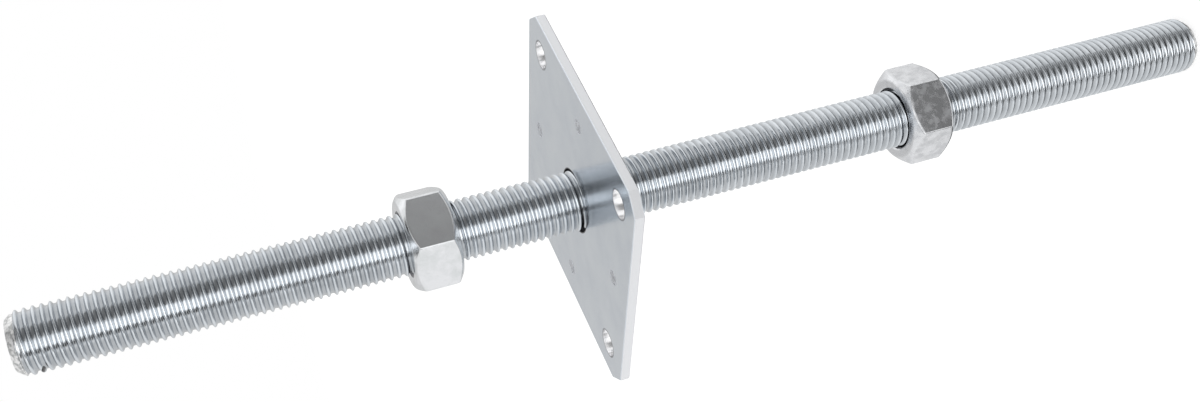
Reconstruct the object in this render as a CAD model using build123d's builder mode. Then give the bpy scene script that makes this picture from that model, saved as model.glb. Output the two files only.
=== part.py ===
"""Adjustable post base: a threaded rod, a square bearing plate that slides along it and two lock nuts.

Frame: +Z runs up the rod, and the origin is on the rod's axis, in the upper face of the plate.
The rod's lower end is set in the foundation, and its upper end goes into the foot of the post.
Each thread is a plain cylinder of its major diameter. Millimetres and degrees throughout.
"""
import os
from math import isclose, radians, sqrt, tan

from build123d import *

os.makedirs("parts", exist_ok=True)

# Threaded rod
thread_diameter = 24.0
rod_length = 500.0
rod_above_plate = 211.0
rod_end_diameter = 19.0
rod_end_taper = 3.2

# Clearance on the radius: a running fit for the nuts, a loose hole for the plate
thread_clearance = 0.05
plate_clearance = 0.9

# Bearing plate
plate_width = 110.0
plate_depth = 110.0
plate_thickness = 4.0
plate_corner_cut = 7.0
plate_edge_break = 0.3

# Holes in the plate: one near each corner and one at the middle of each side
corner_hole_diameter = 11.0
side_hole_diameter = 6.0
hole_edge_distance = 14.0

# Hexagon nuts
nut_across_flats = 36.0
nut_height = 19.0
nut_bearing_diameter = 33.0
nut_corner_angle = 35.0
nut_corner_allowance = 0.5
nut_countersink = 1.3

# Free thread between each nut and the plate, and how far each nut is turned
upper_nut_gap = 50.0
upper_nut_turn = 41.6
lower_nut_gap = 137.5
lower_nut_turn = 22.8

# Heights and radii that follow
rod_bottom = rod_above_plate - rod_length
plate_bottom = -plate_thickness
upper_nut_base = upper_nut_gap
lower_nut_base = plate_bottom - lower_nut_gap - nut_height
nut_bore_radius = thread_diameter / 2 + thread_clearance
plate_bore_radius = thread_diameter / 2 + plate_clearance


def is_bore_rim(edge):
    """True for a circle where the nut's bore meets a face."""
    return isclose(edge.radius, nut_bore_radius)


# Threaded rod: a bar cut to length, with a blunt cone turned on both ends
with BuildPart() as threaded_rod:
    with BuildSketch(Plane.XY.offset(rod_bottom)):
        Circle(thread_diameter / 2)
    extrude(amount=rod_length)
    end_faces = threaded_rod.faces().filter_by(Axis.Z)
    for end_face in end_faces:
        chamfer(
            end_face.edges(),
            length=(thread_diameter - rod_end_diameter) / 2,
            length2=rod_end_taper,
            reference=end_face,
        )
threaded_rod.part.label = "threaded_rod"
export_step(threaded_rod.part, "parts/threaded_rod.step")


# Bearing plate: sheet with clipped corners, punched for the screws and for the rod
with BuildPart() as bearing_plate:
    with BuildSketch(Plane.XY.offset(plate_bottom)):
        Rectangle(plate_width, plate_depth)
        chamfer(vertices(), length=plate_corner_cut)
    extrude(amount=plate_thickness)
    broad_faces = bearing_plate.faces().filter_by(Axis.Z)
    chamfer(broad_faces.edges(), length=plate_edge_break)

    hole_spacing_x = plate_width - 2 * hole_edge_distance
    hole_spacing_y = plate_depth - 2 * hole_edge_distance
    with GridLocations(hole_spacing_x, hole_spacing_y, 2, 2):
        Hole(corner_hole_diameter / 2)
    with GridLocations(hole_spacing_x, 0, 2, 1):
        Hole(side_hole_diameter / 2)
    with GridLocations(0, hole_spacing_y, 1, 2):
        Hole(side_hole_diameter / 2)
    Hole(plate_bore_radius)
bearing_plate.part.label = "bearing_plate"
export_step(bearing_plate.part, "parts/bearing_plate.step")


# Hexagon nuts, one above and one below the plate
for name, base, turn in (
    ("upper_nut", upper_nut_base, upper_nut_turn),
    ("lower_nut", lower_nut_base, lower_nut_turn),
):
    with BuildPart() as nut:
        with BuildSketch(Plane.XY.offset(base)):
            RegularPolygon(nut_across_flats / 2, 6, major_radius=False, rotation=turn)
            Circle(nut_bore_radius, mode=Mode.SUBTRACT)
        extrude(amount=nut_height)

        # A cone turned on each face takes the corners off: keep what lies inside both cones
        bearing_radius = nut_bearing_diameter / 2
        past_corners = nut_across_flats / sqrt(3) + nut_corner_allowance
        cone_depth = (past_corners - bearing_radius) * tan(radians(nut_corner_angle))
        with BuildSketch(Plane.XZ):
            with BuildLine():
                Polyline(
                    (0, base),
                    (bearing_radius, base),
                    (past_corners, base + cone_depth),
                    (past_corners, base + nut_height - cone_depth),
                    (bearing_radius, base + nut_height),
                    (0, base + nut_height),
                    close=True,
                )
            make_face()
        revolve(axis=Axis.Z, mode=Mode.INTERSECT)

        rims = nut.edges().filter_by(GeomType.CIRCLE).filter_by(is_bore_rim)
        chamfer(rims, length=nut_countersink)
    nut.part.label = name
    export_step(nut.part, f"parts/{name}.step")
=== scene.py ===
"""Adjustable post base in zinc-plated steel: threaded rod, bearing plate and two lock nuts.

Everything is in metres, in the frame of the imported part: +Z runs up the rod, and z = 0 is the
plate's upper face. The camera looks across the rod and is rolled, so the rod lies across the picture.
"""
from math import cos, pi, radians, tan

import bpy
from mathutils import Matrix, Vector


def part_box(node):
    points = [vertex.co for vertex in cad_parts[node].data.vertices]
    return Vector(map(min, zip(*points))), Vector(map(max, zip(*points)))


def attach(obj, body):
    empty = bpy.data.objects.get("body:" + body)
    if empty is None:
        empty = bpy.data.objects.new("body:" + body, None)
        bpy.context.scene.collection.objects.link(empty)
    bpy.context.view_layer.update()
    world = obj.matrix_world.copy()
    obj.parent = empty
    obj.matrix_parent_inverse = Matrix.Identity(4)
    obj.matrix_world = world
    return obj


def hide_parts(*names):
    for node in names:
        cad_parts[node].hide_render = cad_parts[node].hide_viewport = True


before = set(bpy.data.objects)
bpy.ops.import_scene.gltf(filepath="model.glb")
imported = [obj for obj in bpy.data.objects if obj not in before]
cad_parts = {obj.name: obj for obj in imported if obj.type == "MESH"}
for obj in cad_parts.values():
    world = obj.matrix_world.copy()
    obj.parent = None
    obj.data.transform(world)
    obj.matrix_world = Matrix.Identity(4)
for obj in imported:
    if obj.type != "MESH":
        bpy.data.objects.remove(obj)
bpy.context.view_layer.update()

# Threaded rod. One 500 mm length of M24 rod in zinc-plated steel, its right-hand thread rolled from
# end to end and both ends turned to a blunt cone. The foot of the post and the foundation hold it.
THREAD_RADIUS = 0.012
THREAD_PITCH = 0.003
THREAD_DEPTH = 0.0011
CREST_SHARE = 0.10
ROOT_SHARE = 0.28
ROD_END_RADIUS = 0.0095
ROD_END_TAPER = 0.0032
ROD_SIDES = 40
ROWS_PER_PITCH = 12
SHARP_EDGE = radians(45)
MERGE_DISTANCE = 1e-6


class NodeTree:
    """Adds nodes to a tree in few words. Each call but node and link returns the value worked out."""

    def __init__(self, tree):
        self.tree = tree

    def node(self, kind, inputs=(), **settings):
        made = self.tree.nodes.new(kind)
        for name, value in settings.items():
            setattr(made, name, value)
        for key, value in dict(inputs).items():
            socket = made.inputs[key]
            if isinstance(value, bpy.types.NodeSocket):
                self.tree.links.new(value, socket)
            else:
                socket.default_value = value
        return made

    def link(self, output, socket):
        self.tree.links.new(output, socket)

    def math(self, operation, *values):
        return self.node("ShaderNodeMath", enumerate(values), operation=operation).outputs[0]

    def vector_math(self, operation, *values):
        made = self.node("ShaderNodeVectorMath", enumerate(values), operation=operation)
        return made.outputs["Value" if operation in ("LENGTH", "DISTANCE") else "Vector"]

    def rescale(self, value, old, new, **settings):
        """Carries a value from the old range to the new one, and stops at its ends."""
        limits = {"From Min": old[0], "From Max": old[1], "To Min": new[0], "To Max": new[1]}
        return self.node("ShaderNodeMapRange", {"Value": value, **limits}, **settings).outputs["Result"]

    def colour_ramp(self, value, stops):
        """Colours by value: each stop is a value from 0 to 1 and the colour there."""
        ramp = self.node("ShaderNodeValToRGB", {"Fac": value})
        elements = ramp.color_ramp.elements
        for position, _ in stops[1:-1]:
            elements.new(position)
        for element, (position, colour) in zip(elements, stops):
            element.position = position
            element.color = (*colour, 1)
        return ramp.outputs["Color"]

    def mix_colour(self, share, first, second, blend="MIX"):
        """Mixes two colours, which are sockets 6 and 7 of the mix node."""
        inputs = {0: share, 6: first, 7: second}
        return self.node("ShaderNodeMix", inputs, data_type="RGBA", blend_type=blend).outputs[2]

    def mix_number(self, share, first, second):
        """Mixes two numbers, which are sockets 2 and 3 of the mix node."""
        inputs = {0: share, 2: first, 3: second}
        return self.node("ShaderNodeMix", inputs, data_type="FLOAT").outputs[0]


def fed_by(socket):
    """The output that a linked socket takes its value from."""
    return socket.links[0].from_socket


def off_axis(nodes):
    """How far a point of the surface is from the rod's axis."""
    place = nodes.node("ShaderNodeTexCoord").outputs["Object"]
    return nodes.vector_math("LENGTH", nodes.vector_math("MULTIPLY", place, (1, 1, 0)))


def zinc_material(name, bright, dull, roughness, blotch_size, bump):
    """Zinc plating: a bluish metal whose tone, gloss and surface vary from patch to patch.

    The bright patches have the first roughness, and the dull ones the second.
    """
    tone_limits = (0.38, 0.62)
    gloss_limits = (0.35, 0.65)
    grain_scale = 1400.0
    grain_height = 0.00004
    material = bpy.data.materials.new(name)
    material.use_nodes = True
    nodes = NodeTree(material.node_tree)
    shader = material.node_tree.nodes["Principled BSDF"]
    shader.inputs["Metallic"].default_value = 1.0
    place = nodes.node("ShaderNodeTexCoord").outputs["Object"]
    blotches = nodes.node(
        "ShaderNodeTexNoise", {"Vector": place, "Scale": 1 / blotch_size, "Detail": 4.0, "Roughness": 0.6}
    ).outputs["Fac"]
    grain = nodes.node(
        "ShaderNodeTexNoise", {"Vector": place, "Scale": grain_scale, "Detail": 3.0, "Roughness": 0.7}
    ).outputs["Fac"]
    tone = nodes.colour_ramp(blotches, ((tone_limits[0], dull), (tone_limits[1], bright)))
    nodes.link(tone, shader.inputs["Base Color"])
    gloss = nodes.rescale(blotches, gloss_limits, (roughness[1], roughness[0]))
    nodes.link(gloss, shader.inputs["Roughness"])
    relief = nodes.node("ShaderNodeBump", {"Height": grain, "Strength": bump, "Distance": grain_height})
    nodes.link(relief.outputs["Normal"], shader.inputs["Normal"])
    return material


# The thread's roots are darker than its crests: painted shade, deepening from crest to root. The turned
# ends are brighter and duller, where the cutter left a torn surface under the zinc. A speck of dirt
# sticks to the thread near the upper end, three times as long round the rod as along it.
PAINTED_ROOT_SHADE = 0.66
TORN_SCALE = 700.0
TORN_TONES = ((0.40, (0.48, 0.49, 0.49)), (0.56, (0.88, 0.88, 0.88)))
TORN_ROUGHNESS = 0.4
SPECK_PLACE = Vector((-0.0112, 0.0043, 0.2021))
SPECK_REACH = 0.0024
SPECK_STRETCH = Vector((1, 1, 3))
SPECK_COLOUR = (0.02, 0.02, 0.02, 1)

rod_low, rod_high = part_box("threaded_rod")
rod_middle = (rod_low.z + rod_high.z) / 2
rod_length = rod_high.z - rod_low.z


def rod_coat():
    """The rod's zinc, with painted shade in its roots, torn ends and speck."""
    material = zinc_material(
        "rod_zinc",
        bright=(0.71, 0.745, 0.78),
        dull=(0.62, 0.655, 0.69),
        roughness=(0.14, 0.24),
        blotch_size=0.010,
        bump=0.3,
    )
    nodes = NodeTree(material.node_tree)
    inputs = material.node_tree.nodes["Principled BSDF"].inputs
    # Painted shade: the colour darkens from the crest down to the root of the thread.
    depth = nodes.rescale(off_axis(nodes), (THREAD_RADIUS - THREAD_DEPTH, THREAD_RADIUS), (PAINTED_ROOT_SHADE, 1.0))
    shade = nodes.node("ShaderNodeCombineColor", {"Red": depth, "Green": depth, "Blue": depth}).outputs[0]
    thread_colour = nodes.mix_colour(1.0, fed_by(inputs["Base Color"]), shade, "MULTIPLY")

    place = nodes.node("ShaderNodeTexCoord").outputs["Object"]
    along = nodes.node("ShaderNodeSeparateXYZ", {"Vector": place}).outputs["Z"]
    from_middle = nodes.math("ABSOLUTE", nodes.math("SUBTRACT", along, rod_middle))
    turned = nodes.math("GREATER_THAN", from_middle, rod_length / 2 - ROD_END_TAPER)
    torn = nodes.node("ShaderNodeTexNoise", {"Vector": place, "Scale": TORN_SCALE, "Detail": 2.0})
    torn_colour = nodes.colour_ramp(torn.outputs["Fac"], TORN_TONES)
    rod_colour = nodes.mix_colour(turned, thread_colour, torn_colour)
    roughness = nodes.mix_number(turned, fed_by(inputs["Roughness"]), TORN_ROUGHNESS)
    nodes.link(roughness, inputs["Roughness"])

    stretched = nodes.vector_math("MULTIPLY", place, SPECK_STRETCH)
    to_speck = nodes.vector_math("DISTANCE", stretched, SPECK_PLACE * SPECK_STRETCH)
    speck = nodes.math("LESS_THAN", to_speck, SPECK_REACH)
    nodes.link(nodes.mix_colour(speck, rod_colour, SPECK_COLOUR), inputs["Base Color"])
    return material


def geometry_tree(name, inputs):
    """A Geometry Nodes tree with float inputs, its group input's sockets and its group output's."""
    tree = bpy.data.node_groups.new(name, "GeometryNodeTree")
    for label, value in inputs.items():
        socket = tree.interface.new_socket(label, in_out="INPUT", socket_type="NodeSocketFloat")
        socket.default_value = value
    tree.interface.new_socket("Material", in_out="INPUT", socket_type="NodeSocketMaterial")
    tree.interface.new_socket("Geometry", in_out="OUTPUT", socket_type="NodeSocketGeometry")
    return tree, tree.nodes.new("NodeGroupInput").outputs, tree.nodes.new("NodeGroupOutput").inputs


def solid_from_tree(name, tree, settings, material):
    """Runs a Geometry Nodes tree once and keeps what it makes as a plain mesh object."""
    carrier = bpy.data.objects.new(name + "_tree", bpy.data.meshes.new(name + "_tree"))
    bpy.context.scene.collection.objects.link(carrier)
    modifier = carrier.modifiers.new("shape", "NODES")
    modifier.node_group = tree
    for item in tree.interface.items_tree:
        if item.in_out == "INPUT":
            modifier[item.identifier] = material if item.name == "Material" else settings[item.name]
    evaluated = carrier.evaluated_get(bpy.context.evaluated_depsgraph_get())
    mesh = bpy.data.meshes.new_from_object(evaluated)
    mesh.name = name
    carrier.modifiers.clear()
    bpy.data.objects.remove(carrier)
    made = bpy.data.objects.new(name, mesh)
    bpy.context.scene.collection.objects.link(made)
    return made


# The thread starts as a flat sheet of one column for each side of the rod and twelve rows for each
# pitch. The nodes wrap it round the axis as a helix, cut it level at both ends and close it.
rod_sizes = {
    "Bottom": rod_low.z,
    "Length": rod_length,
    "Pitch": THREAD_PITCH,
    "Radius": THREAD_RADIUS,
    "Depth": THREAD_DEPTH,
    "End Radius": ROD_END_RADIUS,
    "End Taper": ROD_END_TAPER,
    "Sides": ROD_SIDES,
    "Rows Per Pitch": ROWS_PER_PITCH,
}
thread_tree, given, result = geometry_tree("rolled_thread", rod_sizes)
nodes = NodeTree(thread_tree)
pitches = nodes.math("CEIL", nodes.math("ADD", nodes.math("DIVIDE", given["Length"], given["Pitch"]), 2.0))
sheet = nodes.node(
    "GeometryNodeMeshGrid",
    {
        "Size X": 1.0,
        "Size Y": 1.0,
        "Vertices X": nodes.math("ADD", given["Sides"], 1.0),
        "Vertices Y": nodes.math("ADD", nodes.math("MULTIPLY", pitches, given["Rows Per Pitch"]), 1.0),
    },
).outputs["Mesh"]
position = nodes.node("GeometryNodeInputPosition").outputs[0]
place = nodes.node("ShaderNodeSeparateXYZ", {"Vector": position}).outputs
around = nodes.math("ADD", place["X"], 0.5)
turns = nodes.math("MULTIPLY", nodes.math("ADD", place["Y"], 0.5), pitches)

# A row of the sheet stands at one place on the thread's outline, and climbs one pitch in a turn
half_row = nodes.math("DIVIDE", 0.5, given["Rows Per Pitch"])
along_pitch = nodes.math("FRACT", nodes.math("ADD", turns, half_row))
from_root = nodes.math("MULTIPLY", nodes.math("ABSOLUTE", nodes.math("SUBTRACT", along_pitch, 0.5)), 2.0)
fall = nodes.rescale(
    nodes.math("SUBTRACT", 1.0, from_root),
    (CREST_SHARE, 1.0 - ROOT_SHARE),
    (0.0, given["Depth"]),
    interpolation_type="SMOOTHSTEP",
)
thread_radius = nodes.math("SUBTRACT", given["Radius"], fall)
top = nodes.math("ADD", given["Bottom"], given["Length"])
climb = nodes.math("SUBTRACT", nodes.math("ADD", turns, around), 1.5)
height = nodes.math("ADD", nodes.math("MULTIPLY", climb, given["Pitch"]), given["Bottom"])
height = nodes.math("MAXIMUM", nodes.math("MINIMUM", height, top), given["Bottom"])

# The cone turned on each end takes the thread down to the end's radius
from_bottom = nodes.math("SUBTRACT", height, given["Bottom"])
from_end = nodes.math("MINIMUM", from_bottom, nodes.math("SUBTRACT", top, height))
cone_width = nodes.math("SUBTRACT", given["Radius"], given["End Radius"])
cone_slope = nodes.math("DIVIDE", cone_width, given["End Taper"])
cone_radius = nodes.math("ADD", given["End Radius"], nodes.math("MULTIPLY", from_end, cone_slope))
radius = nodes.math("MINIMUM", thread_radius, cone_radius)
angle = nodes.math("MULTIPLY", around, 2 * pi)
wrapped = nodes.node(
    "ShaderNodeCombineXYZ",
    {
        "X": nodes.math("MULTIPLY", radius, nodes.math("COSINE", angle)),
        "Y": nodes.math("MULTIPLY", radius, nodes.math("SINE", angle)),
        "Z": height,
    },
).outputs[0]
wall = nodes.node("GeometryNodeSetPosition", {"Geometry": sheet, "Position": wrapped}).outputs[0]

# A flat disc closes each end, and the lower one faces down
end_faces = []
for level in (given["Bottom"], top):
    outline = {"Vertices": given["Sides"], "Radius": given["End Radius"]}
    disc = nodes.node("GeometryNodeMeshCircle", outline, fill_type="NGON").outputs[0]
    lift = nodes.node("ShaderNodeCombineXYZ", {"Z": level}).outputs[0]
    end_faces.append(nodes.node("GeometryNodeTransform", {"Geometry": disc, "Translation": lift}).outputs[0])
lower_face, upper_face = end_faces
lower_face = nodes.node("GeometryNodeFlipFaces", {"Mesh": lower_face}).outputs[0]
joined = nodes.node("GeometryNodeJoinGeometry")
for part in (wall, lower_face, upper_face):
    nodes.link(part, joined.inputs[0])
merged = nodes.node(
    "GeometryNodeMergeByDistance", {"Geometry": joined.outputs[0], "Distance": MERGE_DISTANCE}
).outputs[0]
real = nodes.node("GeometryNodeRealizeInstances", {"Geometry": merged}).outputs[0]
coated = nodes.node("GeometryNodeSetMaterial", {"Geometry": real, "Material": given["Material"]}).outputs[0]
nodes.link(coated, result["Geometry"])

rod = solid_from_tree("rod_thread", thread_tree, rod_sizes, rod_coat())
rod.data.shade_smooth()
rod.data.set_sharp_from_angle(angle=SHARP_EDGE)
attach(rod, "rod")
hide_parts("threaded_rod")

# Bearing plate. A square of 4 mm zinc-plated sheet, its corners clipped and its holes punched, for
# the post's foot to rest on and be screwed to. It slides along the rod and is clamped by the nuts.
SIDE_SLOPE = 0.5
SIDE_COLOUR = (0.87, 0.88, 0.90, 1)
SIDE_ROUGHNESS = 0.55
BORE_SHADE_RADIUS = 0.0133
BORE_SHADE_COLOUR = (0.03, 0.03, 0.035, 1)
HOLE_EDGE_DISTANCE = 0.014
HOLE_RIM_RADIUS = 0.0061
HOLE_RIM_COLOUR = (0.30, 0.31, 0.33, 1)
HOLE_WALL_HIGHLIGHT_COLOUR = (0.97, 0.97, 0.98, 1)
HOLE_WALL_ROUGHNESS = 0.22


def plate_coat():
    """The plate's zinc: pale cut sides, painted shade in the bore, and corner holes with dark rims and walls
    brightened by a painted highlight.
    """
    material = zinc_material(
        "plate_zinc",
        bright=(0.69, 0.73, 0.77),
        dull=(0.65, 0.69, 0.74),
        roughness=(0.16, 0.24),
        blotch_size=0.018,
        bump=0.15,
    )
    nodes = NodeTree(material.node_tree)
    inputs = material.node_tree.nodes["Principled BSDF"].inputs
    normal = nodes.node("ShaderNodeNewGeometry").outputs["Normal"]
    facing = nodes.node("ShaderNodeSeparateXYZ", {"Vector": normal})
    side_wall = nodes.math("LESS_THAN", nodes.math("ABSOLUTE", facing.outputs["Z"]), SIDE_SLOPE)
    # Painted shade: the bore's wall and a thin ring round its mouth are near black, for the shadow in the
    # gap round the rod.
    painted_bore_shade = nodes.math("LESS_THAN", off_axis(nodes), BORE_SHADE_RADIUS)
    colour = nodes.mix_colour(side_wall, fed_by(inputs["Base Color"]), SIDE_COLOUR)
    colour = nodes.mix_colour(painted_bore_shade, colour, BORE_SHADE_COLOUR)

    # Folded over both axes, the plate has one corner hole in place of four
    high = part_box("bearing_plate")[1]
    corner_hole = (high.x - HOLE_EDGE_DISTANCE, high.y - HOLE_EDGE_DISTANCE, 0.0)
    folded = nodes.vector_math("ABSOLUTE", nodes.node("ShaderNodeTexCoord").outputs["Object"])
    from_hole = nodes.vector_math("DISTANCE", nodes.vector_math("MULTIPLY", folded, (1, 1, 0)), corner_hole)
    near_hole = nodes.math("LESS_THAN", from_hole, HOLE_RIM_RADIUS)
    rim = nodes.math("MULTIPLY", near_hole, nodes.math("SUBTRACT", 1.0, side_wall))
    # The corner holes' walls are near white: the pale raw metal of a cut side, with a painted highlight for
    # the light they catch.
    hole_wall = nodes.math("MULTIPLY", near_hole, side_wall)
    colour = nodes.mix_colour(rim, colour, HOLE_RIM_COLOUR)
    colour = nodes.mix_colour(hole_wall, colour, HOLE_WALL_HIGHLIGHT_COLOUR)
    nodes.link(colour, inputs["Base Color"])
    roughness = nodes.mix_number(side_wall, fed_by(inputs["Roughness"]), SIDE_ROUGHNESS)
    roughness = nodes.mix_number(hole_wall, roughness, HOLE_WALL_ROUGHNESS)
    nodes.link(roughness, inputs["Roughness"])
    return material


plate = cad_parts["bearing_plate"]
plate.data.materials.clear()
plate.data.materials.append(plate_coat())

# Lock nuts. Two M24 hexagon nuts in zinc-plated steel, one each side of the plate, each face turned
# to a shallow cone that leaves a round bearing ring, and the bore countersunk at both ends.
NUT_FLATS = 0.036
NUT_BEARING_RADIUS = 0.0165
NUT_CONE = radians(35)
NUT_BORE_RADIUS = 0.01205
NUT_COUNTERSINK = 0.0013
NUT_SIDES = 72
NUT_EDGE = 0.0007
NUT_EDGE_STEPS = 3
NUT_EDGE_ANGLE = radians(25)
NUT_BORE_SHADE_RADIUS = 0.0130
NUT_BORE_SHADE_COLOUR = (0.06, 0.06, 0.07, 1)


def nut_coat(name, **zinc):
    """A nut's zinc, with painted shade in the bore and the inner part of its countersink."""
    material = zinc_material(name, **zinc)
    nodes = NodeTree(material.node_tree)
    colour = material.node_tree.nodes["Principled BSDF"].inputs["Base Color"]
    # Painted shade: the bore and the inner countersink are near black, for the gap round the rod.
    nut_bore_shade = nodes.math("LESS_THAN", off_axis(nodes), NUT_BORE_SHADE_RADIUS)
    nodes.link(nodes.mix_colour(nut_bore_shade, fed_by(colour), NUT_BORE_SHADE_COLOUR), colour)
    return material


smooth_zinc = nut_coat(
    "smooth_zinc",
    bright=(0.80, 0.81, 0.83),
    dull=(0.70, 0.72, 0.73),
    roughness=(0.15, 0.23),
    blotch_size=0.007,
    bump=0.4,
)
blotchy_zinc = nut_coat(
    "blotchy_zinc",
    bright=(0.75, 0.76, 0.78),
    dull=(0.71, 0.72, 0.74),
    roughness=(0.06, 0.45),
    blotch_size=0.0033,
    bump=0.8,
)


def hexagon_nut(name, base, top, turn, coat):
    """A nut from base to top on the rod's axis, with one of its corners at the angle turn."""
    verts = []
    for side in range(NUT_SIDES):
        angle = turn + 2 * pi * side / NUT_SIDES
        off_middle = (angle - turn) % (pi / 3) - pi / 6
        reach = NUT_FLATS / 2 / cos(off_middle)
        cone = (reach - NUT_BEARING_RADIUS) * tan(NUT_CONE)
        outline = (
            (NUT_BORE_RADIUS, base + NUT_COUNTERSINK),
            (NUT_BORE_RADIUS + NUT_COUNTERSINK, base),
            (NUT_BEARING_RADIUS, base),
            (reach, base + cone),
            (reach, top - cone),
            (NUT_BEARING_RADIUS, top),
            (NUT_BORE_RADIUS + NUT_COUNTERSINK, top),
            (NUT_BORE_RADIUS, top - NUT_COUNTERSINK),
        )
        spin = Matrix.Rotation(angle, 3, "Z")
        verts += [spin @ Vector((radius, 0, z)) for radius, z in outline]
    rows = len(outline)
    faces = []
    for side in range(NUT_SIDES):
        here = side * rows
        there = (side + 1) % NUT_SIDES * rows
        for row in range(rows):
            after = (row + 1) % rows
            faces.append((here + row, there + row, there + after, here + after))
    mesh = bpy.data.meshes.new(name)
    mesh.from_pydata(verts, [], faces)
    mesh.materials.append(coat)
    made = bpy.data.objects.new(name, mesh)
    bpy.context.scene.collection.objects.link(made)
    bevel = made.modifiers.new("worn_edges", "BEVEL")
    bevel.width = NUT_EDGE
    bevel.segments = NUT_EDGE_STEPS
    bevel.limit_method = "ANGLE"
    bevel.angle_limit = NUT_EDGE_ANGLE
    bevel.harden_normals = True
    mesh.shade_smooth()
    return made


for cad_node, body, turn, coat in (
    ("upper_nut", "nut_above", 41.6, smooth_zinc),
    ("lower_nut", "nut_below", 22.8, blotchy_zinc),
):
    low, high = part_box(cad_node)
    nut = hexagon_nut(cad_node + "_turned", low.z, high.z, radians(turn), coat)
    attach(nut, body)
    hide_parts(cad_node)

# Floor. A white floor under the rod's lower end, painted matt. It glows a little for the camera, so
# that it meets the white surroundings without an edge.
FLOOR_SIZE = 12.0
FLOOR_COLOUR = (0.86, 0.86, 0.86, 1)
FLOOR_ROUGHNESS = 0.9
FLOOR_GLOW = 0.5


def ray_share(nodes, *kinds):
    """1 for the rays of these kinds and 0 for the others."""
    rays = nodes.node("ShaderNodeLightPath").outputs
    share = rays[kinds[0]]
    for kind in kinds[1:]:
        share = nodes.math("MAXIMUM", share, rays[kind])
    return share


floor_paint = bpy.data.materials.new("floor_paint")
floor_paint.use_nodes = True
nodes = NodeTree(floor_paint.node_tree)
paint = floor_paint.node_tree.nodes["Principled BSDF"]
paint.inputs["Base Color"].default_value = FLOOR_COLOUR
paint.inputs["Roughness"].default_value = FLOOR_ROUGHNESS
paint.inputs["Specular IOR Level"].default_value = 0.0
paint.inputs["Emission Color"].default_value = (1, 1, 1, 1)
seen = ray_share(nodes, "Is Camera Ray", "Is Transmission Ray")
nodes.link(nodes.math("MULTIPLY", seen, FLOOR_GLOW), paint.inputs["Emission Strength"])
bpy.ops.mesh.primitive_plane_add(size=FLOOR_SIZE, location=(0, 0, rod_low.z))
floor = bpy.context.object
floor.name = "floor"
floor.data.materials.append(floor_paint)
floor.visible_glossy = False

# Surroundings. White on every side, and brighter to the camera and in reflections than as the light
# that they cast.
SKY_LIGHT = 0.7
SKY_LOOK = 1.0

world = bpy.data.worlds.new("studio")
world.use_nodes = True
bpy.context.scene.world = world
sky = world.node_tree.nodes["Background"]
sky.inputs["Color"].default_value = (1, 1, 1, 1)
nodes = NodeTree(world.node_tree)
seen = ray_share(nodes, "Is Camera Ray", "Is Glossy Ray", "Is Transmission Ray")
nodes.link(nodes.mix_number(seen, SKY_LIGHT, SKY_LOOK), sky.inputs["Strength"])

# Light tent. A round wall of cloth that only reflections see, open at the top and foot. Each tone is
# given at its bearing from the camera in degrees, and the tones lean along the wall as they rise.
CAMERA_BEARING = 230.2
TENT_RADIUS = 1.3
TENT_HALF_HEIGHT = 2.4
TENT_SIDES = 72
TENT_SKEW = 12
TENT_DIM_HEIGHTS = (-1.25, -0.85)
TENT_DIM_SHARE = 0.12
TENT_TONES = (
    (-180, 0.66),
    (-165, 0.72),
    (-140, 0.92),
    (-100, 0.98),
    (-80, 0.92),
    (-64, 1.15),
    (-52, 0.85),
    (-42, 0.60),
    (-31, 1.15),
    (-2, 1.15),
    (7, 0.30),
    (13, 0.24),
    (30, 0.28),
    (39, 0.32),
    (45, 0.23),
    (49, 0.27),
    (53, 1.00),
    (75, 1.00),
    (130, 0.98),
    (150, 0.92),
    (162, 0.68),
    (172, 0.65),
    (180, 0.66),
)


def studio_sheet(name, points, faces, material):
    """A sheet of the studio that only reflections see."""
    mesh = bpy.data.meshes.new(name)
    mesh.from_pydata(points, [], faces)
    mesh.materials.append(material)
    made = bpy.data.objects.new(name, mesh)
    bpy.context.scene.collection.objects.link(made)
    made.visible_camera = False
    made.visible_diffuse = False
    made.visible_shadow = False
    made.visible_transmission = False
    return made


tent_cloth = bpy.data.materials.new("tent_cloth")
tent_cloth.use_nodes = True
tent_cloth.node_tree.nodes.remove(tent_cloth.node_tree.nodes["Principled BSDF"])
nodes = NodeTree(tent_cloth.node_tree)
place = nodes.node("ShaderNodeTexCoord").outputs["Object"]
from_camera = nodes.node(
    "ShaderNodeMapping", {"Vector": place, "Rotation": (0, 0, -radians(CAMERA_BEARING))}
).outputs[0]
turn = nodes.node("ShaderNodeTexGradient", {"Vector": from_camera}, gradient_type="RADIAL").outputs["Fac"]
height = nodes.node("ShaderNodeSeparateXYZ", {"Vector": from_camera}).outputs["Z"]
turn = nodes.math("SUBTRACT", turn, nodes.math("MULTIPLY", height, TENT_SKEW / 360))
tones = nodes.colour_ramp(turn, [(bearing / 360 + 0.5, (tone, tone, tone)) for bearing, tone in TENT_TONES])
strength = nodes.rescale(height, TENT_DIM_HEIGHTS, (TENT_DIM_SHARE, 1.0))
glow = nodes.node("ShaderNodeEmission", {"Color": tones, "Strength": strength}).outputs[0]
nodes.link(glow, tent_cloth.node_tree.nodes["Material Output"].inputs["Surface"])
tent_points = [
    Matrix.Rotation(2 * pi * side / TENT_SIDES, 3, "Z") @ Vector((TENT_RADIUS, 0, z))
    for z in (-TENT_HALF_HEIGHT, TENT_HALF_HEIGHT)
    for side in range(TENT_SIDES)
]
tent_faces = []
for side in range(TENT_SIDES):
    after = (side + 1) % TENT_SIDES
    tent_faces.append((side, after, TENT_SIDES + after, TENT_SIDES + side))
tent = studio_sheet("light_tent", tent_points, tent_faces, tent_cloth)

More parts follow.
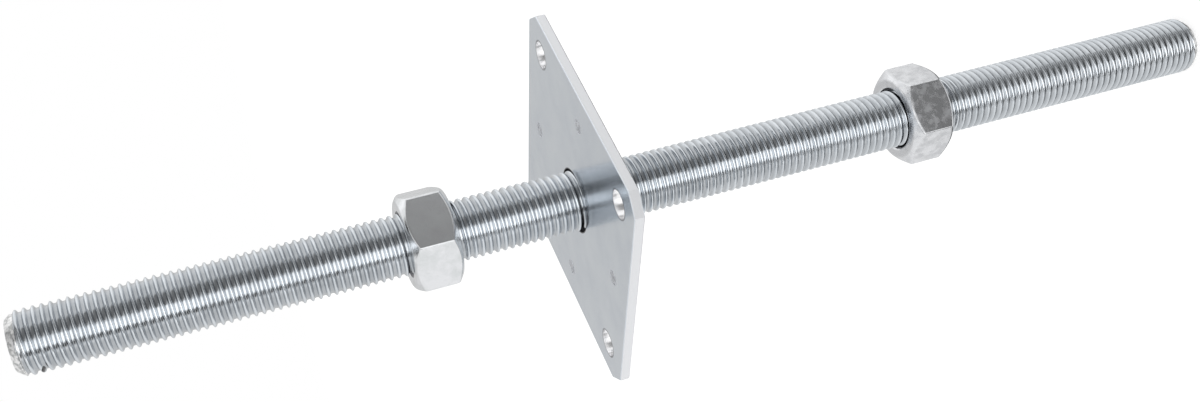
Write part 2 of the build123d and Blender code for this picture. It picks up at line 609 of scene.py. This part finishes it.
# Black cards. Two beside the camera, one over the other, put the dark notches into the thread, and
# one overhead darkens the nuts' rings. The overhead card's corners are given by how far each lies
# towards the camera and to the camera's right.
CARD_RADIUS = 1.2
CARD_BEARING = radians(CAMERA_BEARING - 45)
CARD_SPREAD = radians(10)
CARD_HEIGHTS = ((-0.05, 2.2), (-2.2, -0.8))
OVERHEAD_HEIGHT = 2.2
OVERHEAD_CORNERS = ((-1.5, -0.5), (0.15, -0.5), (0.15, 1.2), (-1.5, 1.2))
CARD_COLOUR = (0.02, 0.02, 0.02, 1)

card_ink = bpy.data.materials.new("card_ink")
card_ink.use_nodes = True
ink = card_ink.node_tree.nodes["Principled BSDF"]
ink.inputs["Base Color"].default_value = CARD_COLOUR
ink.inputs["Roughness"].default_value = 1.0
card_points = [
    Matrix.Rotation(CARD_BEARING + side * CARD_SPREAD, 3, "Z") @ Vector((CARD_RADIUS, 0, z))
    for bottom, top in CARD_HEIGHTS
    for side, z in ((-1, bottom), (1, bottom), (1, top), (-1, top))
]
facing_camera = Matrix.Rotation(radians(CAMERA_BEARING), 3, "Z")
card_points += [
    facing_camera @ Vector((towards, across, OVERHEAD_HEIGHT)) for towards, across in OVERHEAD_CORNERS
]
card = studio_sheet("black_card", card_points, [(0, 1, 2, 3), (4, 5, 6, 7), (8, 9, 10, 11)], card_ink)

# Lamps. Two large soft lamps stand either side of the rod. The strip lamp draws the bright line along
# the thread and lights the rod alone.
LAMP_DISTANCE = 1.2


def lamp(name, bearing, height, width, length, watts):
    """A soft lamp, upright beside the rod and turned towards it."""
    light = bpy.data.lights.new(name, "AREA")
    light.shape = "RECTANGLE"
    light.size = width
    light.size_y = length
    light.energy = watts
    made = bpy.data.objects.new(name, light)
    bpy.context.scene.collection.objects.link(made)
    made.location = Matrix.Rotation(radians(bearing), 3, "Z") @ Vector((LAMP_DISTANCE, 0, height))
    made.rotation_euler = (-made.location).to_track_quat("-Z", "Y").to_euler()
    return made


lamp("lamp_below", CAMERA_BEARING - 40, height=0.1, width=1.2, length=1.6, watts=1.6)
lamp("lamp_above", CAMERA_BEARING + 120, height=0.3, width=1.2, length=1.6, watts=1.0)
strip_lamp = lamp("strip_lamp", CAMERA_BEARING - 18, height=-0.05, width=0.9, length=1.7, watts=5.4)
rod_alone = bpy.data.collections.new("rod_alone")
rod_alone.objects.link(rod)
strip_lamp.light_linking.receiver_collection = rod_alone

# Camera, beside the rod a little above the plate, rolled so that the rod climbs from left to right
LENS = 42.43
SENSOR_WIDTH = 36
CAMERA_PLACE = Vector((-0.34262, -0.41109, 0.13958))
CAMERA_SIGHT = Vector((0.613, 0.743, -0.269))
CAMERA_UP = Vector((0.704, -0.668, -0.242))

camera_data = bpy.data.cameras.new("camera")
camera_data.lens = LENS
camera_data.sensor_width = SENSOR_WIDTH
camera = bpy.data.objects.new("camera", camera_data)
bpy.context.scene.collection.objects.link(camera)
sight = CAMERA_SIGHT.normalized()
right = sight.cross(CAMERA_UP).normalized()
upward = right.cross(sight)
turned = Matrix((right, upward, -sight)).transposed().to_4x4()
camera.matrix_world = Matrix.Translation(CAMERA_PLACE) @ turned
bpy.context.scene.camera = camera
bpy.context.scene.view_settings.view_transform = "Standard"
